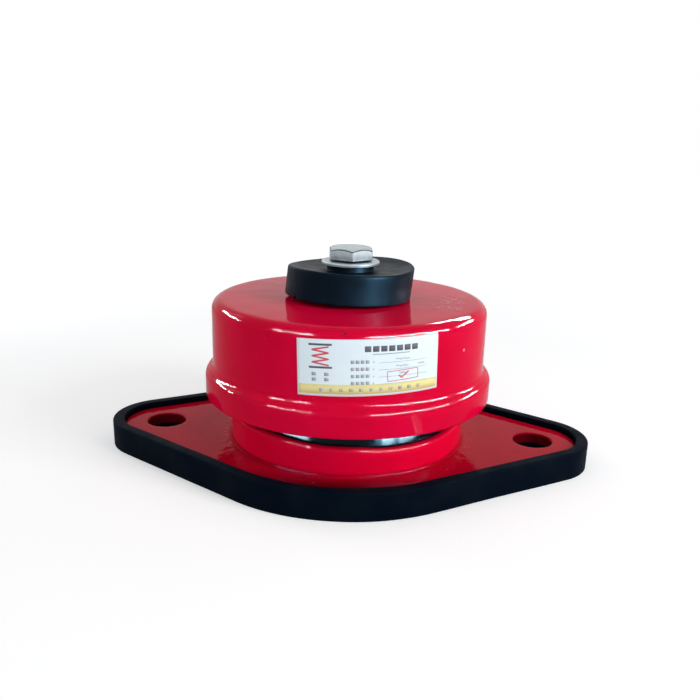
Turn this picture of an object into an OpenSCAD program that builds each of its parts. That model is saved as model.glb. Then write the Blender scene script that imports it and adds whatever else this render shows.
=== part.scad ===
// Spring vibration isolator: a bell-shaped upper housing rides on a preloaded coil spring over a low cup,
// which is welded to a bolt-down base plate in a rubber mat. A bolt through the guide limits the rebound.
// Millimetres, +Z up. The origin is the centre of the mat's underside, and X runs through both bolt holes.

/* [Base] */
// Distance between the two foundation bolt holes
bolt_spacing = 170; // [160:1:200]
// Diameter of the foundation bolt holes
bolt_hole_d = 17; // [11:0.5:21]
// Radius of the mat round the middle of the base
mat_centre_r = 71.3; // [66:0.1:78]
// Radius of the mat's two ends, round the bolt holes
mat_end_r = 24.3; // [20:0.1:30]
// Thickness of the mat under the plate
mat_floor_t = 4.6; // [3:0.1:7]
// Width of the mat's raised lip
mat_lip_w = 5.2; // [3:0.1:7]
// Height of the lip above the plate
mat_lip_rise = 2.5; // [1:0.1:5]
// Thickness of the base plate
plate_t = 5; // [4:0.1:8]
// Gap between the plate's edge and the lip
plate_gap = 0.2; // [0.1:0.05:0.5]
// Diameter of the access hole under the limit bolt's head
access_d = 27; // [24:0.5:34]

/* [Lower housing] */
// Outer diameter of the lower housing
lower_d = 104.8; // [98:0.1:110]
// Height of the lower housing above the plate
lower_h = 12.4; // [10:0.1:17]
// Sheet thickness of the lower housing
lower_wall = 2; // [1.5:0.1:2.6]
// Width of the rim that turns inwards over the sleeve's foot
lower_rim_w = 3; // [2.8:0.1:4]
// Outer radius of the rim's edge
lower_edge_r = 2.4; // [0.6:0.1:2.7]
// Leg of the weld round the lower housing's foot
lower_weld = 1.2; // [1:0.1:4]

/* [Damping sleeve] */
// Height of the rubber sleeve
sleeve_h = 42; // [39:0.5:46]
// Wall of the rubber sleeve
sleeve_wall = 3.2; // [2:0.1:4]
// Thickness of the sleeve's foot flange, held under the turned rim
sleeve_foot_t = 4; // [2:0.1:6]
// Thickness of the sleeve's guiding lip
sleeve_lip_t = 4; // [2:0.1:6]

/* [Upper housing] */
// Outer diameter of the upper housing's body
upper_d = 120; // [114:0.1:126]
// Height of the upper housing, from the skirt's edge to the flat top
upper_h = 42.2; // [38:0.1:46]
// Sheet thickness of the upper housing
upper_wall = 2.5; // [1.5:0.1:3]
// Radius of the top edge
upper_edge_r = 4.6; // [3.5:0.1:8]
// How far the skirt stands out from the body
skirt_flare = 3.35; // [2:0.05:4]
// Height of the straight skirt
skirt_h = 8.5; // [6:0.1:11]
// Height of the step between the body and the skirt
joggle_h = 5.8; // [5:0.1:7]

/* [Spring] */
// Diameter of the spring wire
wire_d = 8; // [6:0.1:8.5]
// Mean diameter of the coil
coil_d = 70; // [68:0.5:74]
// Height of the spring as fitted
spring_h = 52.8; // [48:0.1:58]
// Number of turns, with the closed ends
coil_turns = 4.5; // [3.5:0.5:4.5]
// Thickness of the rubber rings under and over the spring
spring_pad_t = 3; // [2:0.1:5]
// Gap between the rubber rings and the sleeve round them
spring_pad_gap = 1.5; // [0.5:0.1:3]
// Sheet thickness of the upper spring seat
seat_t = 1.5; // [1:0.1:2.5]
// Depth of the seat's collar inside the coil
seat_collar_h = 6; // [3:0.1:8]

/* [Guide and limit stop] */
// Working travel of the upper housing
travel = 12; // [8:0.1:14]
// Room left between the boss and the bump stop at full travel
travel_clear = 0.4; // [0.3:0.1:1]
// Outer diameter of the spring guide
guide_d = 53; // [46:0.5:54]
// Sheet thickness of the spring guide
guide_wall = 3; // [2:0.1:4]
// Outer radius of the spring guide's top edge
guide_edge_r = 5; // [4.2:0.1:8]
// Leg of the weld round the spring guide's foot
guide_weld_leg = 2.5; // [1:0.1:3]
// Outer diameter of the bush in the guide's top
bush_d = 17; // [15:0.5:20]
// Diameter of the bush's flange, which is the bump stop
bush_flange_d = 30; // [24:0.5:34]
// Thickness of the bush's flange
bush_flange_t = 2.5; // [1.5:0.1:4]
// Thread diameter of the limit bolt
limit_d = 10; // [8:1:12]
// Width across flats of the limit bolt's head
limit_flats = 16; // [13:1:18]
// Height of the limit bolt's head
limit_head_h = 6.4; // [5:0.1:8]
// Outer diameter of the limit bolt's washer and rubber buffer
limit_washer_d = 30; // [24:0.5:36]
// Thickness of the limit bolt's washer
limit_washer_t = 2; // [1.5:0.1:3]
// Thickness of the rubber buffer under the guide's top
buffer_t = 3; // [2:0.1:4]

/* [Boss and top bolt] */
// Outer diameter of the threaded boss
boss_d = 24; // [20:0.5:28]
// Length of the threaded boss
boss_len = 20; // [18:0.1:24]
// Leg of the weld round the boss
boss_weld_leg = 2.5; // [1:0.1:4]
// Thread diameter of the top bolt
bolt_d = 12; // [10:1:14]
// Width across flats of the top bolt's head
bolt_flats = 18; // [16:1:21]
// Height of the top bolt's head
bolt_head_h = 5.8; // [5:0.1:8.5]
// Depth of the top bolt's thread in the boss
bolt_depth = 11.5; // [8:0.1:12]
// Angle that the top bolt was left at when tightened
bolt_turn = 39; // [0:1:60]
// Outer diameter of the top washer
washer_d = 25.2; // [22:0.1:30]
// Thickness of the top washer
washer_t = 1.5; // [1:0.1:3]

/* [Top pad] */
// Diameter of the top pad
pad_d = 55; // [45:0.5:64]
// Height of the pad's rim above the upper housing
pad_rim_h = 13.9; // [10:0.1:18]
// Height of the pad's centre, pressed down by the bolt
pad_dish_h = 12; // [9:0.1:13.5]
// Height of the central boss above the pressed surface
pad_boss_h = 2.6; // [1.5:0.1:4]
// Diameter of the pad's central boss
pad_boss_d = 20.4; // [20:0.1:28]
// Rounding of the pad's edges
pad_edge_r = 0.8; // [0.4:0.1:1.5]
// How far the pad's lifted side curls off the housing
pad_lift = 2.1; // [0:0.1:4]
// How far the pad's top has sheared sideways from its foot
pad_lean = 1.7; // [0:0.1:3]

/* [Label] */
// Width of the inspection label, laid flat
label_w = 55.5; // [40:0.5:70]
// Height of the inspection label
label_h = 22; // [12:0.1:24]
// Thickness of the inspection label
label_t = 0.25; // [0.1:0.05:0.5]
// Height of the label's lower edge above the step
label_low = 2.4; // [1:0.1:4]
// Direction that the label's middle faces
label_turn = -77.3; // [-120:0.1:-40]
// How far the label is stuck on askew
label_tilt = 1.6; // [0:0.1:3]

/* [Clearances] */
// Gap between the sleeve's lip and the upper housing
slide_gap = 0.3; // [0.3:0.05:0.6]
// Gap between the rebound buffer and the guide's underside
stop_gap = 0.1; // [0.05:0.05:0.3]
// Radial gap of a bolt in its thread or of a seated piece in its hole
seat_gap = 0.1; // [0.05:0.05:0.2]
// Radial gap of a bolt in a plain hole
hole_gap = 0.6; // [0.4:0.1:1]

/* [Hidden] */
$fn = 96;

// Length by which a cutting shape runs past a face
past = 1;
// Film of glue behind the label, and gap behind each weld
film = 0.05;
// Least overlap of two pieces of one outline
hair = 0.02;
// Room left at the tip of each bolt in the boss
tip_room = 0.5;
// Round face of a bolt's head as a share of its flats, and the slope of the chamfer round it
head_face = 0.95;
head_chamfer = 30;

RED = [0.76, 0.02, 0.10];
RUBBER = [0.07, 0.07, 0.08];
ZINC = [0.78, 0.79, 0.80];
STEEL = [0.35, 0.36, 0.38];
PAPER = [0.93, 0.95, 0.97];

// Base heights and hole places
plate_top = mat_floor_t + plate_t;
lip_top = plate_top + mat_lip_rise;
hole_x = bolt_spacing / 2;

// Spring stack, from the plate up to the flat top of the upper housing
spring_low = plate_top + spring_pad_t;
spring_top = spring_low + spring_h;
seat_top = spring_top + seat_t;
bell_under = seat_top + spring_pad_t;
bell_top = bell_under + upper_wall;

// Upper housing: two equal arcs make the step between the body and the skirt
upper_r = upper_d / 2;
skirt_r = upper_r + skirt_flare;
skirt_low = bell_top - upper_h;
joggle_low = skirt_low + skirt_h;
joggle_top = joggle_low + joggle_h;
joggle_r = (skirt_flare * skirt_flare + joggle_h * joggle_h) / (4 * skirt_flare);

// Lower housing and the sleeve inside it
lower_r = lower_d / 2;
lower_top = plate_top + lower_h;
rim_hole_r = lower_r - lower_rim_w;
sleeve_r = rim_hole_r - seat_gap;
sleeve_in_r = sleeve_r - sleeve_wall;
sleeve_top = plate_top + sleeve_h;
lip_r = upper_r - upper_wall - slide_gap;

// Boss, guide and limit bolt, stacked downwards from the boss's foot
boss_low = bell_under - boss_len;
bush_top = boss_low - travel - travel_clear;
guide_top = bush_top - bush_flange_t;
guide_under = guide_top - guide_wall;
buffer_top = guide_under - stop_gap;
buffer_low = buffer_top - buffer_t;
limit_head_top = buffer_low - limit_washer_t;
limit_len = bell_under - bolt_depth - 2 * tip_room - limit_head_top;
guide_r = guide_d / 2;

// Coil, and the rubber rings and seat that locate it
wire_r = wire_d / 2;
coil_r = coil_d / 2;
ring_in = guide_r + guide_weld_leg + 2 * film;
ring_out = sleeve_in_r - spring_pad_gap;
collar_r = coil_r - wire_r - hole_gap;

// Top stack, from the flat top of the upper housing up to the bolt's head
bolt_r = bolt_d / 2;
washer_low = bell_top + pad_dish_h + pad_boss_h;
head_low = washer_low + washer_t;
bolt_len = head_low - bell_under + bolt_depth;

// One layer of the base: a middle disc and two end discs, joined by straight flanks.
// The flanks lie a hair inside the common tangents, so that each crosses its discs cleanly.
module base_layer(inset, low, top) {
    centre_r = mat_centre_r - inset;
    end_r = mat_end_r - inset;
    slope = asin((centre_r - end_r) / hole_x);
    normal = [sin(slope), cos(slope)];
    near = (centre_r - hair) * normal;
    far = [hole_x, 0] + (end_r - hair) * normal;
    translate([0, 0, low])
        union() {
            cylinder(r = centre_r, h = top - low);
            for (side = [-1, 1])
                translate([side * hole_x, 0, 0])
                    cylinder(r = end_r, h = top - low);
            linear_extrude(top - low)
                polygon([
                    near, far, [far.x, -far.y], [near.x, -near.y],
                    -near, -far, [-far.x, far.y], [-near.x, near.y]
                ]);
        }
}

// Foundation bolt holes and the access hole, through everything between two heights
module base_holes(low, top) {
    for (side = [-1, 1])
        translate([side * hole_x, 0, low - past])
            cylinder(d = bolt_hole_d, h = top - low + 2 * past);
    translate([0, 0, low - past])
        cylinder(d = access_d, h = top - low + 2 * past);
}

// Flat ring between two radii and two heights
module ring(inner_r, outer_r, low, top) {
    rotate_extrude()
        translate([inner_r, low])
            square([outer_r - inner_r, top - low]);
}

// Three-cornered weld bead, its legs on a round wall and on the flat face that it stands on
module weld(wall_r, face_z, leg, up) {
    rotate_extrude()
        polygon([
            [wall_r + film, face_z],
            [wall_r + film + leg, face_z],
            [wall_r + film, face_z + up * leg]
        ]);
}

// Half profile of a drawn cup with its mouth at low and its flat top at high
module cup_profile(r, low, high, edge_r) {
    translate([0, low])
        square([r, high - edge_r - low]);
    translate([0, low])
        square([r - edge_r, high - low]);
    translate([r - edge_r, high - edge_r])
        circle(edge_r);
}

// Half profile of the upper housing, with its surface moved inwards by inset.
// Its pieces overlap, so that no seam is left between them.
module bell_profile(inset, low) {
    body_r = upper_r - inset;
    hem_r = skirt_r - inset;
    convex_r = joggle_r - inset;
    concave_r = joggle_r + inset;
    knee_r = hem_r - convex_r;
    meet = joggle_low + convex_r * joggle_h / (2 * joggle_r);
    cup_profile(body_r, low, bell_top - inset, upper_edge_r - inset);
    translate([0, low])
        square([hem_r, joggle_low - low]);
    translate([0, low])
        square([knee_r, meet + hair - low]);
    translate([knee_r, joggle_low])
        circle(convex_r);
    difference() {
        translate([0, meet])
            square([body_r + concave_r, joggle_top - meet]);
        translate([body_r + concave_r, joggle_top])
            circle(concave_r);
    }
}

// Hexagon bolt, head up, with the underside of the head at height zero
module hex_bolt(d, flats, head_h, len) {
    corner_r = flats / sqrt(3);
    face_r = head_face * flats / 2;
    blank_r = corner_r + past;
    tip = d / 10;
    intersection() {
        cylinder(r = corner_r, h = head_h, $fn = 6);
        rotate_extrude()
            polygon([
                [0, 0],
                [blank_r, 0],
                [blank_r, head_h - (blank_r - face_r) * tan(head_chamfer)],
                [face_r, head_h],
                [0, head_h]
            ]);
    }
    rotate_extrude()
        polygon([
            [0, -len],
            [d / 2 - tip, -len],
            [d / 2, tip - len],
            [d / 2, head_h / 2],
            [0, head_h / 2]
        ]);
}

// Triangles of a tube of rings, each a closed loop of count points
function tube_faces(rings, count) = [
    for (i = [0 : rings - 2], j = [0 : count - 1], half = [0, 1])
        let (a = i * count + j, b = i * count + (j + 1) % count)
        half == 0 ? [a, b, b + count] : [a, b + count, a + count]
];

// Triangles that close an end ring round its middle point
function cap_faces(start, count, middle, flip) = [
    for (j = [0 : count - 1])
        let (a = start + j, b = start + (j + 1) % count)
        flip ? [middle, b, a] : [middle, a, b]
];

module base_mat() {
    color(RUBBER)
        difference() {
            base_layer(0, 0, lip_top);
            base_layer(mat_lip_w, mat_floor_t, lip_top + past);
            base_holes(0, mat_floor_t);
        }
}

module base_plate() {
    color(RED)
        difference() {
            base_layer(mat_lip_w + plate_gap, mat_floor_t, plate_top);
            base_holes(mat_floor_t, plate_top);
        }
}

// Drawn ring with its top edge turned inwards over the sleeve's foot
module lower_housing() {
    color(RED)
        rotate_extrude()
            difference() {
                cup_profile(lower_r, plate_top, lower_top, lower_edge_r);
                cup_profile(lower_r - lower_wall, plate_top - past, lower_top - lower_wall,
                    lower_edge_r / 2);
                translate([0, plate_top])
                    square([rim_hole_r, lower_h + past]);
            }
}

module lower_weld_bead() {
    color(RED)
        weld(lower_r, plate_top, lower_weld, 1);
}

// Rubber sleeve: foot held under the turned rim, and a lip that steadies the upper housing
module damping_sleeve() {
    foot_r = lower_r - lower_wall - seat_gap;
    color(RUBBER)
        rotate_extrude()
            polygon([
                [sleeve_in_r, plate_top],
                [foot_r, plate_top],
                [foot_r, plate_top + sleeve_foot_t],
                [sleeve_r, plate_top + sleeve_foot_t],
                [sleeve_r, sleeve_top - sleeve_lip_t],
                [lip_r, sleeve_top - sleeve_lip_t],
                [lip_r, sleeve_top],
                [sleeve_in_r, sleeve_top]
            ]);
}

// Inverted cup that centres the coil and carries the limit stop
module spring_guide() {
    color(STEEL)
        rotate_extrude()
            difference() {
                cup_profile(guide_r, plate_top, guide_top, guide_edge_r);
                cup_profile(guide_r - guide_wall, plate_top - past, guide_under, guide_edge_r - guide_wall);
                translate([0, plate_top])
                    square([bush_d / 2, guide_top]);
            }
}

module guide_weld_bead() {
    color(STEEL)
        weld(guide_r, plate_top, guide_weld_leg, 1);
}

// Flanged bush: its sleeve fills the guide's hole and its flange is the bump stop
module limit_bush() {
    inner_r = limit_d / 2 + hole_gap;
    sleeve_r = bush_d / 2 - seat_gap;
    color(RUBBER)
        rotate_extrude()
            polygon([
                [inner_r, guide_under],
                [sleeve_r, guide_under],
                [sleeve_r, guide_top],
                [bush_flange_d / 2, guide_top],
                [bush_flange_d / 2, bush_top],
                [inner_r, bush_top]
            ]);
}

module lower_spring_pad() {
    color(RUBBER)
        ring(ring_in, ring_out, plate_top, spring_low);
}

// The wire's section has short flats above and below, which the closed ends are ground down to
flat_angle = 75;
wire_rise = wire_r * sin(flat_angle);
closed_turns = 0.75;
active_turns = coil_turns - 2 * closed_turns;

// Height of the wire's centre after t turns: closed ends, and an even pitch between them
function coil_z(t) =
    t < closed_turns ? wire_rise - (closed_turns - t) * wire_d :
    t > coil_turns - closed_turns ? spring_h - wire_rise + (t - coil_turns + closed_turns) * wire_d :
    wire_rise + (spring_h - 2 * wire_rise) * (t - closed_turns) / active_turns;

// Coil with its end faces ground flat: each ring is an outer and an inner arc between two flats
module main_spring() {
    arc = 6;
    sides = 2 * arc;
    turn_steps = 32;
    steps = turn_steps * coil_turns;
    function wire_point(i, j) =
        let (
            z = coil_z(i / turn_steps),
            low = asin(max(-sin(flat_angle), -z / wire_r)),
            high = asin(min(sin(flat_angle), (spring_h - z) / wire_r)),
            share = (j % arc) / (arc - 1),
            lean = j < arc ? low + (high - low) * share : 180 - high + (high - low) * share,
            r = coil_r + wire_r * cos(lean),
            turn = 360 * i / turn_steps
        )
        [r * cos(turn), r * sin(turn), spring_low + z + wire_r * sin(lean)];
    function wire_ring(i) = [for (j = [0 : sides - 1]) wire_point(i, j)];
    function middle(loop) = [for (p = loop) 1] * loop / len(loop);
    points = [for (i = [0 : steps]) each wire_ring(i)];
    count = len(points);
    color(STEEL)
        polyhedron(
            concat(points, [middle(wire_ring(0)), middle(wire_ring(steps))]),
            concat(
                tube_faces(steps + 1, sides),
                cap_faces(0, sides, count, true),
                cap_faces(count - sides, sides, count + 1, false)
            )
        );
}

// Pressed ring with a collar that centres the top of the coil
module upper_spring_seat() {
    color(STEEL)
        rotate_extrude()
            polygon([
                [collar_r - seat_t, spring_top - seat_collar_h],
                [collar_r, spring_top - seat_collar_h],
                [collar_r, spring_top],
                [ring_out, spring_top],
                [ring_out, seat_top],
                [collar_r - seat_t, seat_top]
            ]);
}

module upper_spring_pad() {
    color(RUBBER)
        ring(collar_r - seat_t, ring_out, seat_top, bell_under);
}

module upper_housing() {
    color(RED)
        difference() {
            rotate_extrude()
                difference() {
                    bell_profile(0, skirt_low);
                    bell_profile(upper_wall, skirt_low - past);
                }
            translate([0, 0, bell_under - past])
                cylinder(r = bolt_r + hole_gap, h = upper_wall + 2 * past);
        }
}

// Turned boss with the top bolt's thread above and the limit bolt's thread below
module threaded_boss() {
    color(STEEL)
        difference() {
            ring(limit_d / 2 + seat_gap, boss_d / 2, boss_low, bell_under);
            translate([0, 0, bell_under - bolt_depth - tip_room])
                cylinder(r = bolt_r + seat_gap, h = bolt_depth + tip_room + past);
        }
}

module boss_weld_bead() {
    color(STEEL)
        weld(boss_d / 2, bell_under, boss_weld_leg, -1);
}

module limit_bolt() {
    color(ZINC)
        translate([0, 0, limit_head_top])
            mirror([0, 0, 1])
                hex_bolt(limit_d, limit_flats, limit_head_h, limit_len);
}

module limit_washer() {
    color(ZINC)
        ring(limit_d / 2 + hole_gap, limit_washer_d / 2, limit_head_top, buffer_low);
}

module rebound_buffer() {
    color(RUBBER)
        ring(limit_d / 2 + hole_gap, limit_washer_d / 2, buffer_low, buffer_top);
}

// Moulded rubber pad, dished by the bolt, with one side curled up and its top sheared sideways
module top_pad() {
    count = 64;
    // Directions of the lifted side, of the rim's two high points, of its tilt and of the lean
    lift_turn = 218;
    twist_turn = 49;
    tilt_turn = 303;
    lean_turn = 28;
    // Rise of the rim's high points, and of its tilt
    twist = 0.8;
    tilt = 0.35;
    // Share of the height that the lean leaves in place
    still = 0.7;
    hole_r = bolt_r + hole_gap;
    boss_r = pad_boss_d / 2;
    pad_r = pad_d / 2;
    boss_top = pad_dish_h + pad_boss_h;
    grip_r = boss_r + pad_edge_r;
    // Share of the way from the gripped centre out to the rim
    function out(r) = max(0, (r - grip_r) / (pad_r - grip_r));
    function foot_z(r, a) = pad_lift * (1 + cos(a - lift_turn)) / 2 * pow(out(r), 2);
    function curl(a) = twist * cos(2 * (a - twist_turn)) + tilt * cos(a - tilt_turn);
    function top_z(r, a) = pad_dish_h + (pad_rim_h - pad_dish_h + curl(a)) * pow(out(r), 1.5);
    function place(r, a, z) =
        let (shear = pad_lean * (z / pad_rim_h - still) * out(r))
        [r * cos(a) + shear * cos(lean_turn), r * sin(a) + shear * sin(lean_turn), bell_top + z];
    rim_in = pad_r - pad_edge_r;
    foot_radii = [hole_r, grip_r, (grip_r + pad_r) / 2, rim_in];
    top_radii = [rim_in, (2 * rim_in + grip_r) / 3, (rim_in + 2 * grip_r) / 3, grip_r];
    // Loops of points, from the hole's foot round the outside and back to the hole's top
    function loops(a) = concat(
        [for (r = foot_radii) place(r, a, foot_z(r, a))],
        [
            place(pad_r, a, foot_z(pad_r, a) + pad_edge_r),
            place(pad_r, a, top_z(pad_r, a) - pad_edge_r)
        ],
        [for (r = top_radii) place(r, a, top_z(r, a))],
        [
            place(boss_r, a, pad_dish_h + pad_edge_r / 2),
            place(boss_r, a, boss_top - pad_edge_r / 2),
            place(boss_r - pad_edge_r / 2, a, boss_top),
            place(hole_r, a, boss_top)
        ]
    );
    size = len(loops(0));
    points = [for (j = [0 : count - 1]) each loops(360 * j / count)];
    faces = [
        for (j = [0 : count - 1], k = [0 : size - 1], half = [0, 1])
            let (
                a = j * size + k,
                b = j * size + (k + 1) % size,
                c = ((j + 1) % count) * size + k,
                d = ((j + 1) % count) * size + (k + 1) % size
            )
            half == 0 ? [a, c, b] : [b, c, d]
    ];
    color(RUBBER)
        polyhedron(points, faces);
}

module top_washer() {
    color(ZINC)
        ring(bolt_r + hole_gap, washer_d / 2, washer_low, head_low);
}

module top_bolt() {
    color(ZINC)
        translate([0, 0, head_low])
            rotate([0, 0, bolt_turn])
                hex_bolt(bolt_d, bolt_flats, bolt_head_h, bolt_len);
}

// Thin sheet wrapped round the upper housing's body
module inspection_label() {
    back_r = upper_r + film;
    chord = 2 * back_r * sin(label_w / back_r * 90 / PI);
    middle_z = joggle_top + label_low + label_h / 2;
    color(PAPER)
        intersection() {
            ring(back_r, back_r + label_t, joggle_top, bell_top);
            rotate([0, 0, label_turn])
                translate([back_r, 0, middle_z])
                    rotate([label_tilt, 0, 0])
                        cube([back_r, chord, label_h], center = true);
        }
}

base_mat();
base_plate();
lower_housing();
lower_weld_bead();
damping_sleeve();
spring_guide();
guide_weld_bead();
limit_bush();
lower_spring_pad();
main_spring();
upper_spring_seat();
upper_spring_pad();
upper_housing();
threaded_boss();
boss_weld_bead();
limit_bolt();
limit_washer();
rebound_buffer();
top_pad();
top_washer();
top_bolt();
inspection_label();
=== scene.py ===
import math

import bmesh
import bpy
from mathutils import Matrix, Vector, noise


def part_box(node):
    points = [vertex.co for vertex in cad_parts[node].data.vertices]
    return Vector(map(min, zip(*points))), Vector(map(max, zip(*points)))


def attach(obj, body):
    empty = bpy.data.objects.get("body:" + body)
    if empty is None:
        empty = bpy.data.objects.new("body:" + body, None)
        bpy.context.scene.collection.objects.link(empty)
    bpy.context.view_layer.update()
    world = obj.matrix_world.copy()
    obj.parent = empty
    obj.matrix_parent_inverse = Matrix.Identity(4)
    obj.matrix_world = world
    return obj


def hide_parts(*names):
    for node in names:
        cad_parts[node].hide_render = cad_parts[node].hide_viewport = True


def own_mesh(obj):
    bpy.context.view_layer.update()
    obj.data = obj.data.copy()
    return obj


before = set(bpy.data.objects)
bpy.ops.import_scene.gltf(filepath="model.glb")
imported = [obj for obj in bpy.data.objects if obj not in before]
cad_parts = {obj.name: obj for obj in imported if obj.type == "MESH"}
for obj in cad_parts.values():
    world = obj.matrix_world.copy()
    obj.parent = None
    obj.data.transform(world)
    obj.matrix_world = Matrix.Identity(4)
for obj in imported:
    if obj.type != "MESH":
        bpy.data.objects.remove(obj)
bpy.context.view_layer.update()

# All shapes are written in millimetres and turned into metres where their mesh is made
MM = 0.001


def span(node):
    """Lowest and highest corner of a CAD node, in millimetres."""
    low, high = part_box(node)
    return Vector(low) / MM, Vector(high) / MM


# Sizes that the frame gives
_, MAT_HIGH = span("base_mat")
PLATE_LOW, PLATE_HIGH = span("base_plate")
CUP_LOW, CUP_HIGH = span("lower_housing")
BEAD_LOW, BEAD_HIGH = span("lower_weld_bead")
SLEEVE_LOW, SLEEVE_HIGH = span("damping_sleeve")
BELL_LOW, BELL_HIGH = span("upper_housing")
SPRING_LOW, SPRING_HIGH = span("main_spring")
WASHER_LOW, WASHER_HIGH = span("top_washer")
BOLT_LOW, BOLT_HIGH = span("top_bolt")
LABEL_LOW, LABEL_HIGH = span("inspection_label")

# Base: a middle disc and two end discs joined by straight flanks
HOLE_X = 85.0
END_R = MAT_HIGH.x - HOLE_X
CENTRE_R = MAT_HIGH.y
LIP_W = 5.2
PLATE_INSET = MAT_HIGH.y - PLATE_HIGH.y
BOLT_HOLE_R = 8.5
ACCESS_R = 13.5

# Bell
SKIRT_FLARE = 3.35
SKIRT_H = 8.5
JOGGLE_H = 5.8
BODY_R = BELL_HIGH.x - SKIRT_FLARE
BELL_WALL = 2.5
BELL_EDGE_R = 4.6
BELL_HOLE_R = 6.6
JOGGLE_LOW = BELL_LOW.z + SKIRT_H
JOGGLE_TOP = JOGGLE_LOW + JOGGLE_H

# Cup. Its rim isn't level: each wave is a height, and the turns from the front, in degrees to the right,
# between which it grows and between which it fades. The wall's lowest CUP_STILL_H stays in place, and its
# top CUP_LIP_H moves as one
CUP_WALL = 2.0
CUP_RIM_W = 3.0
CUP_EDGE_R = 1.6
CUP_WAVES = [(1.2, (-3.0, -35.0), (-150.0, -100.0)), (-1.0, (6.0, 28.0), (75.0, 45.0))]
CUP_STILL_H = 4.0
CUP_LIP_H = 2.0

# Sleeve, coil and top stack
SLEEVE_FIT = 0.1
SLEEVE_R = CUP_HIGH.x - CUP_RIM_W - SLEEVE_FIT
SLEEVE_WALL = 3.2
SLEEVE_FOOT = 4.0
WIRE_R = 4.0
PAD_R = 27.5
PAD_RIM_H = 13.9
PAD_DISH_H = 12.0
PAD_BOSS_R = 10.2
BOLT_R = 6.0
BOLT_FLATS = 18.0
BOLT_TURN = math.radians(39)

# Marks on the bell's enamel: places, and radii of the specks
DIRT_SPECKS = [
    ((-36.1, -15.2, BELL_HIGH.z), 0.45), ((-37.2, 6.7, BELL_HIGH.z), 0.35), ((3.3, -59.1, 70.9), 0.5),
]
DUST_SPECKS = [((48.8, -34.9, 60.0), 0.4), ((34.9, -52.4, 42.7), 0.35)]
BELL_SCUFF = [(42.5, -15.0, BELL_HIGH.z), (43.7, -5.0, BELL_HIGH.z), (45.0, 6.0, BELL_HIGH.z)]
SCUFF_R = 3.5
SCUFF_SOFT = 2.6

# Distances from the long axis between which the plate's painted shade grows
PLATE_SHADE = (47.0, 63.0)

# Label, as wrapped round the bell's body
LABEL_W = 55.5
LABEL_H = 22.0
LABEL_Z = (LABEL_LOW.z + LABEL_HIGH.z) / 2
LABEL_TURN = math.radians(-77.3)
LABEL_TILT = math.radians(1.6)
LABEL_FILM = 0.05
LABEL_T = 0.25


# Meshes

def grid_faces(rows, columns, close_rows=True, close_columns=True):
    """Four-sided faces over rows of points, each row a line of columns points."""
    faces = []
    for i in range(rows if close_rows else rows - 1):
        for j in range(columns if close_columns else columns - 1):
            across = (j + 1) % columns
            below = (i + 1) % rows
            faces.append((i * columns + j, i * columns + across,
                          below * columns + across, below * columns + j))
    return faces


def new_piece(name, work, looks):
    """A smooth-shaded object from a bmesh in metres, with its normals turned outwards."""
    bmesh.ops.recalc_face_normals(work, faces=work.faces)
    mesh = bpy.data.meshes.new(name)
    work.to_mesh(mesh)
    work.free()
    mesh.shade_smooth()
    for look in looks:
        mesh.materials.append(look)
    piece = bpy.data.objects.new(name, mesh)
    bpy.context.scene.collection.objects.link(piece)
    return piece


def solid(name, points, faces, looks, slots=None):
    """A piece from points in millimetres and faces, with a material slot for each face where given."""
    mesh = bpy.data.meshes.new(name + "_points")
    mesh.from_pydata([Vector(p) * MM for p in points], [], faces)
    work = bmesh.new()
    work.from_mesh(mesh)
    bpy.data.meshes.remove(mesh)
    if slots:
        work.faces.ensure_lookup_table()
        for face, index in zip(work.faces, slots):
            face.material_index = index
    return new_piece(name, work, looks)


def rounded(corners, closed=True, step=8.0, gap=3.0):
    """Points along a path of (x, y, fillet radius) corners, with arcs at the corners.

    step is the turn between an arc's points in degrees, and gap the longest straight run."""
    count = len(corners)
    stops = []
    for i, (x, y, radius) in enumerate(corners):
        here = Vector((x, y))
        if radius == 0 or (not closed and i in (0, count - 1)):
            stops.append([here])
            continue
        back = (Vector(corners[i - 1][:2]) - here).normalized()
        on = (Vector(corners[(i + 1) % count][:2]) - here).normalized()
        turn = math.pi - back.angle(on)
        reach = radius * math.tan(turn / 2)
        centre = here + (back + on).normalized() * radius / math.cos(turn / 2)
        first = here + back * reach - centre
        last = here + on * reach - centre
        steps = max(2, round(math.degrees(turn) / step))
        stops.append([centre + radius * first.slerp(last, k / steps) for k in range(steps + 1)])
    points = []
    for i, stop in enumerate(stops):
        points += stop
        if not closed and i == count - 1:
            break
        run = stops[(i + 1) % count][0] - stop[-1]
        parts = max(1, math.ceil(run.length / gap))
        points += [stop[-1] + run * k / parts for k in range(1, parts)]
    return points


def lathe(name, outline, look, segments=384):
    """A solid turned about +Z from a closed outline of (radius, height) points."""
    points = []
    for i in range(segments):
        a = 2 * math.pi * i / segments
        points += [(r * math.cos(a), r * math.sin(a), z) for r, z in outline]
    return solid(name, points, grid_faces(segments, len(outline)), [look])


def smooth(start, end, value):
    """0 at start and 1 at end, with an eased way between."""
    t = min(1.0, max(0.0, (value - start) / (end - start)))
    return t * t * (3 - 2 * t)


def ripple(piece, height, size, seed, where=None):
    """Moves a piece's surface in and out by a soft noise, as flowed paint or moulded rubber does.

    where(point) is the share of the height that a point takes."""
    moved = []
    for v in piece.data.vertices:
        share = where(v.co / MM) if where else 1.0
        wave = noise.noise(v.co / (size * MM) + Vector((seed, 2.0 * seed, 0.5 * seed)))
        moved.append(v.co + v.normal * (wave * height * share * MM))
    for v, place in zip(piece.data.vertices, moved):
        v.co = place
    piece.data.update()


def dress(piece, body, slot, *nodes):
    """Puts a piece on its CAD body, in the place of CAD nodes. slot is not used."""
    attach(piece, body)
    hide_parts(*nodes)


# Materials

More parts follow.
